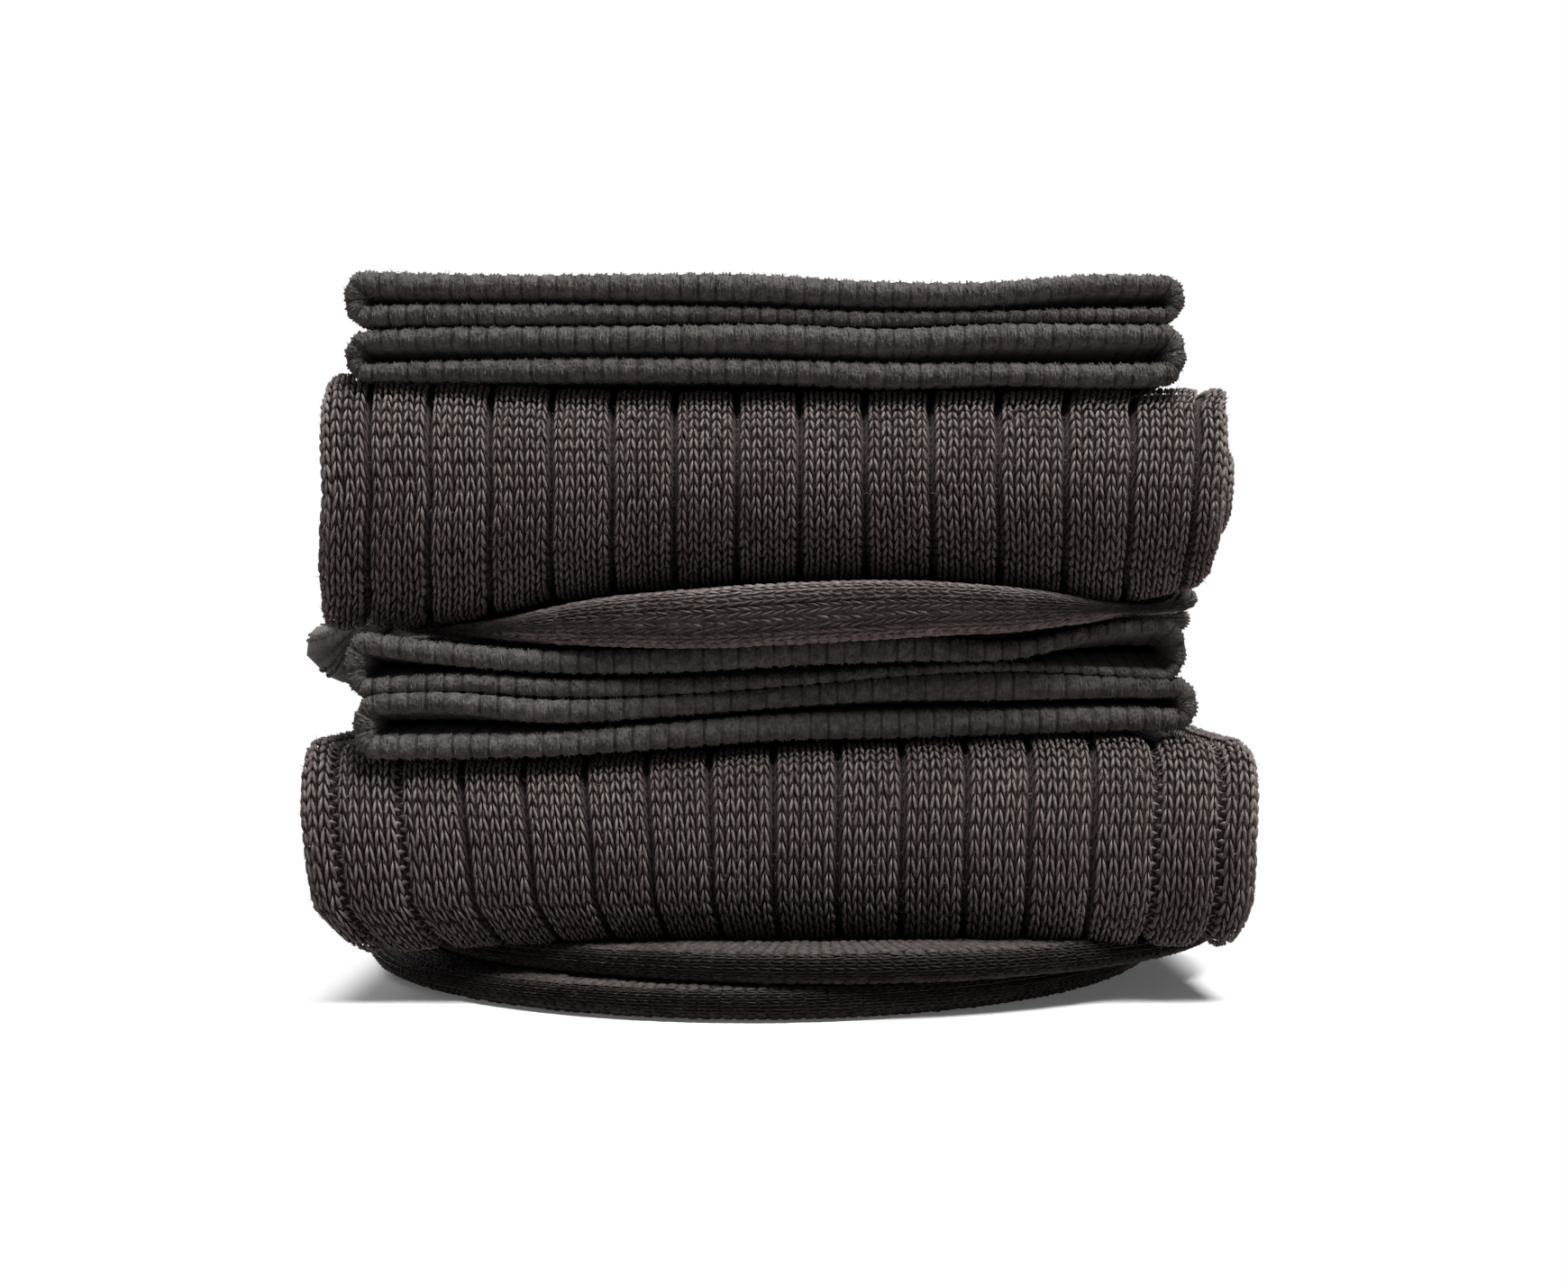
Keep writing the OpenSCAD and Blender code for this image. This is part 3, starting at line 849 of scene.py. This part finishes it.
def fluff(surface, wales, relief, turns, along, count, length, seed):
    """Loose fibres: thin bent spikes that stand out of the cloth at random places within turns and along. A
    spike has a triangle at its root, a smaller one half way and a point."""
    random = np.random.default_rng(seed)
    turn, q = random.uniform(*turns, count), random.uniform(*along, count)
    place, normal = surface(turn, q)
    root = settle(place + normal * relief(turn * wales)[:, None], surface.band)
    lean = random.normal(0, 0.7, (count, 3))
    aim = normal * (random.uniform(0.2, 1.0, count) - (lean * normal).sum(-1))[:, None] + lean
    aim /= np.linalg.norm(aim, axis=1)[:, None]
    side = np.cross(aim, random.normal(0, 1, (count, 3)))
    side /= np.linalg.norm(side, axis=1)[:, None]
    size = length * random.uniform(0.4, 1.3, (count, 1))
    bend = side * size * random.uniform(-0.5, 0.5, (count, 1))
    angle = 2 * np.pi / 3 * np.arange(3)[:, None]
    ring = FIBRE * (np.cos(angle) * side[:, None] + np.sin(angle) * np.cross(aim, side)[:, None])
    half, end = root + 0.5 * size * aim, root + size * aim + bend
    points = np.concatenate((root[:, None] + ring, half[:, None] + 0.7 * ring, end[:, None]), 1)
    points[..., 2] = np.maximum(points[..., 2], FLOOR_CLEAR)
    k = np.arange(3)
    after = (k + 1) % 3
    faces = np.concatenate((
        [(0, 2, 1)], np.stack((k, after, after + 3), -1), np.stack((k, after + 3, k + 3), -1),
        np.stack((k + 3, after + 3, np.full(3, 6)), -1)))
    return points.reshape(-1, 3), (faces[None] + 7 * np.arange(count)[:, None, None]).reshape(-1, 3)


def join(parts):
    """Several (points, faces) as one."""
    starts = np.cumsum([0] + [len(points) for points, _ in parts])
    return (np.concatenate([points for points, _ in parts]),
            np.concatenate([faces + start for (_, faces), start in zip(parts, starts)]))


def rib_columns(low, high):
    """Wales from low to high turns, parted into knitted and sunk ones. A rib's knitted wales lie spread
    apart, so that the sunk ones close up."""
    ribbed, wales = bpy.context.scene.sock_knit.rib_wales, tube_wales()
    columns = np.arange(np.ceil(low * wales), np.floor(high * wales) + 1)
    place = np.mod(columns, ribbed)
    sunk = place == ribbed - 1
    spread = columns + RIB_SPREAD * (place - (ribbed - 2) / 2)
    return spread[~sunk], columns[sunk]


def rib_stitches(name, sock, surface, courses, stretches, fine, seed, fibres=0):
    """Stitches of a rib over stretches of the turn: knitted wales with legs, sunk ones with bumps that lie
    deep, or show in the grooves that are pulled open, and loose fibres over all."""
    wales, relief, rows = tube_wales(), rib_relief(sock), np.arange(courses)
    rings, sides = (2, 4) if fine else (1, 3)
    legs = leg_shape(rings, sides, LEG_TIP, bpy.context.scene.sock_knit.yarn / MM,
                     girth(sock.width, sock.height) / wales)
    parts = []
    for k, (low, high) in enumerate(stretches):
        first = seed + 10 * k
        knitted, sunk = rib_columns(low, high)
        parts.append(stitch(surface, wales, courses, relief, knitted, rows, legs, first))
        opened = from_middle(sunk) > OPEN_GROOVES[sock.pair]
        bumps = [(sunk[opened] + aside, rows + ahead, OPEN_BUMP) for aside, ahead in OPEN_PLACES]
        for at, along, bump in (*bumps, (sunk[~opened], rows, SHUT_BUMP)):
            parts.append(stitch(surface, wales, courses, relief, at, along, bump_shape(*bump), first + 5))
        if fibres:
            parts.append(fluff(surface, wales, relief, (low, high), (0, 1), fibres, RIB_FLUFF, first + 7))
    return new_piece(name, *join(parts), "yarn")


def tube_courses(sock, length):
    """Courses along a length of a sock's tube (mm)."""
    return max(4, int(round(length / COURSE[sock.pair])))


def ride(pieces, body):
    """Makes pieces move with a body."""
    for piece in pieces:
        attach(piece, body)


def declare(name, flat, area=None):
    """Hides the solid that a piece of cloth with its stitches replaces. flat and area, in mm, are not used."""
    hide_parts(name)
    flat[0] * MM
    flat[1] * MM
    None if area is None else area * MM * MM


def make_layer(sock, layer, start, end, width, seed, stretches=EDGES, rows=LAYER_ROWS):
    """A flat layer of a sock with stitches where it shows."""
    name = f"{sock.name}_{LAYER_NAMES[layer]}"
    surface = layer_surface(sock, layer, start, end, width)
    wales, courses = tube_wales(), tube_courses(sock, abs(end - start))
    sheet = cloth(f"{name}_cloth", surface, wales, courses, rib_relief(sock), SUNK["layer"], wales, rows)
    stitches = rib_stitches(f"{name}_stitches", sock, surface, courses, stretches, False, seed)
    ride((sheet, stitches), sock.body(LAYER_BODIES[layer]))
    declare(name, (girth(sock.width, sock.height), abs(end - start)))


def make_fold(sock, fold, outer, seed):
    """A fold of a sock: fine stitches on the outside of the outer tube, and on the edges of the inner
    one."""
    name = f"{sock.name}_{FOLD_NAMES[fold]}"
    shown = outer and fold == FRONT
    swell = OUTER_SWELL
    if not outer:
        swell = INNER_SWELL[sock.name] if fold == FRONT else REAR_SWELL
    surface = fold_surface(sock, fold, swell)
    radius = sock.fold_outer[fold]
    wales, courses = tube_wales(), tube_courses(sock, np.pi * radius)
    stretches = EDGES
    if outer:
        stretches = FACE_A if fold == FRONT else FACE_B
    sheet = cloth(f"{name}_cloth", surface, wales, courses, rib_relief(sock), SUNK["fold"],
                  2 * wales if shown else wales, OUTER_ROWS if outer else INNER_ROWS)
    stitches = rib_stitches(f"{name}_stitches", sock, surface, courses, stretches, fold == FRONT, seed,
                            FOLD_FIBRES if shown else 0)
    y, z = sock.axis[fold][1:]
    low_end, high_end = settle(np.array(((0, y, z - radius), (0, y, z + radius))), surface.band)
    middle = (low_end[2] + high_end[2]) / 2
    half = max(radius - sock.height, LEAST_BEND) * (high_end[2] - low_end[2]) / (2 * radius)
    for made in (sheet, stitches):
        sock.body(LAYER_BODIES[fold])
        sock.body(LAYER_BODIES[fold + 1])
        (middle - half) * MM
        (middle + half) * MM
        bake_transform(made)
    around = girth(sock.width, sock.height)
    declare(name, (around, np.pi * radius),
            around * np.pi * (radius - sock.height / 2))


def make_pocket(sock, piece, pocket, half_width, depth, chains, seed):
    """A toe or heel pocket: cloth with chains of stitches that run along its rim. Its flat area is that of
    a half ellipse, twice."""
    name = f"{sock.name}_{piece}"
    surface, total, rim = pocket
    shown, rings, share, key, thread, fibres = chains
    wales, courses = int(round(total / POCKET_WALE)), int(round(rim / POCKET_COURSE))
    sheet = cloth(f"{name}_cloth", surface, wales, courses, plain_relief, SUNK["pocket"],
                  wales + 1, courses + 1, False, key)
    legs = leg_shape(rings, 3, POCKET_TIP, share * bpy.context.scene.sock_knit.yarn / MM, POCKET_WALE)
    columns = wales / 2 + np.array(shown)
    parts = [stitch(surface, wales, courses, plain_relief, columns, np.arange(courses), legs, seed),
             fluff(surface, wales, plain_relief, POCKET_TURNS, (0, 1), fibres, POCKET_FLUFF, seed + 5)]
    stitches = new_piece(f"{name}_stitches", *join(parts), thread)
    ride((sheet, stitches), sock.body("foot"))
    declare(name, (girth(2 * half_width, sock.height), depth),
            np.pi * half_width * depth)


def make_toe(sock, seed):
    """A toe: a pocket that stands forward out of the foot."""
    reach, *lie = TOE_LIE[sock.name]
    half_width = sock.width / 2 - TOE_DRAW
    depth = (sock.foot_start - span(f"{sock.name}_toe")[0][1]) * reach
    centre = np.array((sock.x, sock.foot_start, sock.level[FOOT]))
    square = SQUARE.get(sock.name, ELLIPSE)
    bulge = TOE_BULGE if square == ELLIPSE else 0.0
    pocket = pocket_surface(centre, (1, 0, 0), (0, -1, 0), half_width, depth, sock.height, lie, bulge,
                            square=square)
    make_pocket(sock, "toe", pocket, half_width, depth, TOE_CHAINS[sock.name], seed)


def make_heel(sock, seed):
    """A heel: a pocket that stands out of the foot to the left."""
    low, high = span(f"{sock.name}_heel")
    reach, *lie = HEEL_LIE[sock.name]
    half_width, depth = (high[1] - low[1]) / 2, (high[0] - low[0]) * reach
    centre = np.array((high[0], (low[1] + high[1]) / 2, sock.level[FOOT]))
    pocket = pocket_surface(centre, (0, -1, 0), (-1, 0, 0), half_width, depth, sock.height, lie,
                            tuck=TUCK.get(sock.name, 0.0))
    make_pocket(sock, "heel", pocket, half_width, depth, HEEL_CHAINS, seed)


def make_seam(sock, seed):
    """The linked toe seam: a row of bumps across the instep, where the toe meets the foot."""
    low, high = span(f"{sock.name}_toe_seam")
    surface = layer_surface(sock, FOOT, low[1], high[1], lambda q: sock.width - 2 * TOE_DRAW)
    wales = tube_wales()
    columns = np.arange(0, wales // 2, SEAM_STEP)
    links = stitch(surface, wales, 1, plain_relief, columns, np.zeros(1), bump_shape(*SEAM_BUMP), seed)
    seam = new_piece(f"{sock.name}_toe_seam_links", *links, "yarn")
    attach(seam, sock.body("foot"))
    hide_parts(f"{sock.name}_toe_seam")


def make_welt(sock, seed):
    """A cuff's turned welt with fine ribs that cross its edge."""
    knit, name = bpy.context.scene.sock_knit, f"{sock.name}_welt"
    wall = (sock.welt_height - WELT_SLIT) / 2
    around = girth(sock.welt_width, sock.welt_height)
    surface, total = welt_surface(sock, wall)
    wales, courses = 2 * knit.welt_ribs, int(round(total / WELT_COURSE))
    sheet = cloth(f"{name}_cloth", surface, wales, courses, welt_relief, SUNK["welt"], wales * 3,
                  courses + courses // 2, key="felt")
    bars = (2 * np.arange(knit.welt_ribs)[:, None] + 0.5 + np.array(WELT_BARS)).ravel()
    rows = np.arange(*(int(courses * share) for share in WELT_SHOWN))
    shape = strand_shape(WELT_YARN * knit.yarn / MM, around / wales)
    parts = [stitch(surface, wales, courses, welt_relief, bars, rows, shape, seed, WELT_STRAY),
             fluff(surface, wales, welt_relief, (0, 1), WELT_FLUFFED, WELT_FIBRES, WELT_FLUFF, seed + 5)]
    stitches = new_piece(f"{name}_stitches", *join(parts), "felt")
    ride((sheet, stitches), sock.body("top"))
    declare(name, (around, total))
    make_elastic(sock, wall)


def make_elastic(sock, wall):
    """The covered elastic in the welt: a flat band carried round the circuit between the welt's two
    plies."""
    low, high = span(f"{sock.name}_elastic")
    outer, inner = BAND_PLIES
    profile = np.array(((low[1], outer), (high[1], outer), (high[1], inner), (low[1], inner)))
    turn, k = np.meshgrid(np.arange(BAND_STEPS) / BAND_STEPS, np.arange(4), indexing="ij")
    x, n, nx, nn = section(turn, sock.welt_width, sock.welt_height)
    sign, y = LAYER_SIGN[CUFF], profile[k, 0]
    sunk = profile[k, 1] * wall * rolling(sock)(sock.x + x, sign * nn, y)
    apart = nn * gaping(sock)(sock.x + x, y)
    z = sock.level[CUFF] + sign * (n + apart - nn * sunk)
    points = np.stack((sock.x + x - nx * sunk, y, z), -1)
    points = settle(points, band_of(sock.level[CUFF], sock.welt_height)).reshape(-1, 3)
    i, j = pairs(np.arange(BAND_STEPS), np.arange(4))
    after_i, after_j = (i + 1) % BAND_STEPS, (j + 1) % 4
    faces = np.stack((i * 4 + after_j, after_i * 4 + after_j, after_i * 4 + j, i * 4 + j), -1)
    band = new_piece(f"{sock.name}_elastic_band", points, faces, "elastic", smooth=False)
    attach(band, sock.body("top"))
    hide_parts(f"{sock.name}_elastic")


def all_socks():
    """The four socks, numbered."""
    return enumerate(Sock(pair, side) for pair in PAIRS for side in SIDES)


class SOCKS_OT_feet(bpy.types.Operator):
    """Knits the toes with their seams, the heels and the feet"""

    bl_idname = "socks.feet"
    bl_label = "Feet"

    def execute(self, context):
        for k, sock in all_socks():
            make_toe(sock, SEEDS["toe"] + k)
            make_seam(sock, SEEDS["seam"] + k)
            make_heel(sock, SEEDS["heel"] + k)
            make_layer(sock, FOOT, sock.foot_start, sock.rear,
                       lambda q: sock.width - 2 * TOE_DRAW * (1 - smoothstep(0, TOE_EASE, q)),
                       SEEDS["foot"] + k)
        return {"FINISHED"}


class SOCKS_OT_layers(bpy.types.Operator):
    """Knits the flat layers between the folds"""

    bl_idname = "socks.layers"
    bl_label = "Layers"

    def execute(self, context):
        for k, sock in all_socks():
            step = SOCK_STEP * k
            make_layer(sock, ANKLE, sock.rear, sock.front, lambda q: sock.width, SEEDS["ankle"] + step)
            make_layer(sock, CALF, sock.front, sock.rear, lambda q: sock.width, SEEDS["calf"] + step)
            drawn_in = sock.width - sock.welt_width
            make_layer(sock, CUFF, sock.rear, sock.welt_start,
                       lambda q: sock.width - drawn_in * smoothstep(*LEG_DRAW, q), SEEDS["leg_top"] + step,
                       TOP_FACE if sock.name == "upper_left" else EDGES, LEG_TOP_ROWS)
        return {"FINISHED"}


class SOCKS_OT_folds(bpy.types.Operator):
    """Knits the half turns of the tubes"""

    bl_idname = "socks.folds"
    bl_label = "Folds"

    def execute(self, context):
        for k, sock in all_socks():
            for fold in FOLD_NAMES:
                outer = sock.left == (fold != FRONT)
                make_fold(sock, fold, outer, SEEDS["fold"] + SOCK_STEP * k + FOLD_STEP * fold)
        return {"FINISHED"}


class SOCKS_OT_cuffs(bpy.types.Operator):
    """Knits the turned welts with their elastics"""

    bl_idname = "socks.cuffs"
    bl_label = "Cuffs"

    def execute(self, context):
        for k, sock in all_socks():
            make_welt(sock, SEEDS["welt"] + CUFF_STEP * k)
        return {"FINISHED"}


def floor_material():
    """White paper: a matt white near the socks that keeps their shadow, and plain white beyond. It throws
    little light back."""
    made, strand, shader, place = new_material("white paper")
    spread = strand.node("ShaderNodeMapping", None, {"Vector": place, "Scale": FLOOR_SPREAD})
    aside = strand.node("ShaderNodeSeparateXYZ", None, {0: spread})
    far = abs(aside).smooth(0.86, 1.0) + abs(aside.other(1)).smooth(1.0, 1.3)
    grain = place.noise(400.0, 2.0)
    strand.fill(shader, {"Base Color": grain.between((0.86, 0.86, 0.86, 1), (0.9, 0.9, 0.9, 1)),
                         "Roughness": 0.9, "Emission Strength": 0.08, "Emission Color": WHITE})
    white = strand.node("ShaderNodeEmission", None, {"Color": WHITE, "Strength": 1.0})
    dull = strand.node("ShaderNodeBsdfDiffuse", None, {"Color": (0.34, 0.3, 0.3, 1)})
    seen = seen_rays(strand)
    paper = Strand(strand.tree, shader.outputs[0])
    near = strand.node("ShaderNodeMixShader", None, {0: seen, 1: dull, 2: paper})
    mixed = strand.node("ShaderNodeMixShader", None, {0: far * seen, 1: near, 2: white})
    strand.fill(strand.tree.nodes["Material Output"], {"Surface": mixed})
    return made


def set_floor(scene):
    """A square of white paper."""
    half = FLOOR_SIDE / 2
    corners = [(x * half, y * half, FLOOR_LEVEL) for x, y in ((-1, -1), (1, -1), (1, 1), (-1, 1))]
    mesh = bpy.data.meshes.new("floor")
    mesh.from_pydata(corners, [], [(0, 1, 2, 3)])
    mesh.materials.append(floor_material())
    floor = bpy.data.objects.new("floor", mesh)
    scene.collection.objects.link(floor)


def set_light(scene):
    """Lamps turned from their places to their aims, and a world that is white to look at and lights
    little."""
    for name, place, aim, size, power in LAMPS:
        lamp = bpy.data.lights.new(name, "AREA")
        lamp.shape, lamp.size, lamp.energy = "DISK", size, power
        made = bpy.data.objects.new(name, lamp)
        made.location = place
        x, y, z = np.array(aim) - np.array(place)
        made.rotation_euler = (np.arctan2(np.hypot(x, y), -z), 0, np.arctan2(-x, y))
        scene.collection.objects.link(made)
    scene.world = bpy.data.worlds.new("studio")
    scene.world.use_nodes = True
    strand = Strand(scene.world.node_tree)
    ambient = strand.node("ShaderNodeBackground", None, {"Color": AMBIENT, "Strength": AMBIENT_LEVEL})
    white = strand.node("ShaderNodeBackground", None, {"Color": WHITE, "Strength": 1.0})
    mixed = strand.node("ShaderNodeMixShader", None, {0: seen_rays(strand), 1: ambient, 2: white})
    strand.fill(strand.tree.nodes["World Output"], {"Surface": mixed})


def set_camera(scene):
    """A level camera in front of the folds, whose lens gives them the photograph's scale."""
    stage = scene.sock_stage
    fold_front = span("lower_right_front_fold")[0][1] * MM
    camera = bpy.data.objects.new("camera", bpy.data.cameras.new("camera"))
    camera.data.sensor_fit, camera.data.sensor_width = "HORIZONTAL", SENSOR
    camera.data.lens = stage.fold_scale * stage.distance / PHOTO_W * SENSOR
    camera.data.clip_start, camera.data.clip_end = 0.01, 20.0
    camera.location = (0, fold_front - stage.distance, stage.height)
    camera.rotation_euler = (np.pi / 2, 0, 0)
    scene.collection.objects.link(camera)
    scene.camera = camera


class SOCKS_OT_stage(bpy.types.Operator):
    """Sets the floor, the light and the camera"""

    bl_idname = "socks.stage"
    bl_label = "Stage"

    def execute(self, context):
        set_floor(context.scene)
        set_light(context.scene)
        set_camera(context.scene)
        context.scene.view_settings.view_transform = "Standard"
        return {"FINISHED"}


class SOCKS_PT_panel(bpy.types.Panel):
    """Lists the steps and the settings of the sock stack"""

    bl_idname = "SOCKS_PT_panel"
    bl_label = "Folded sock stack"
    bl_space_type = "VIEW_3D"
    bl_region_type = "UI"
    bl_category = "Socks"

    def draw(self, context):
        for name, kind in GROUPS.items():
            box = self.layout.box()
            for setting in kind.__annotations__:
                box.prop(getattr(context.scene, name), setting)
        for step in STEPS:
            self.layout.operator(step.bl_idname)


STEPS = (SOCKS_OT_stage, SOCKS_OT_feet, SOCKS_OT_layers, SOCKS_OT_folds, SOCKS_OT_cuffs)
GROUPS = {"sock_knit": KnitSettings, "sock_finish": FinishSettings, "sock_stage": StageSettings}


def register():
    for kind in (*GROUPS.values(), *STEPS, SOCKS_PT_panel):
        bpy.utils.register_class(kind)
    for name, kind in GROUPS.items():
        setattr(bpy.types.Scene, name, bpy.props.PointerProperty(type=kind))


def unregister():
    for name in GROUPS:
        delattr(bpy.types.Scene, name)
    for kind in reversed((*GROUPS.values(), *STEPS, SOCKS_PT_panel)):
        bpy.utils.unregister_class(kind)


def main():
    register()
    bpy.ops.socks.stage()
    bpy.ops.socks.feet()
    bpy.ops.socks.layers()
    bpy.ops.socks.folds()
    bpy.ops.socks.cuffs()


if __name__ == "__main__":
    main()
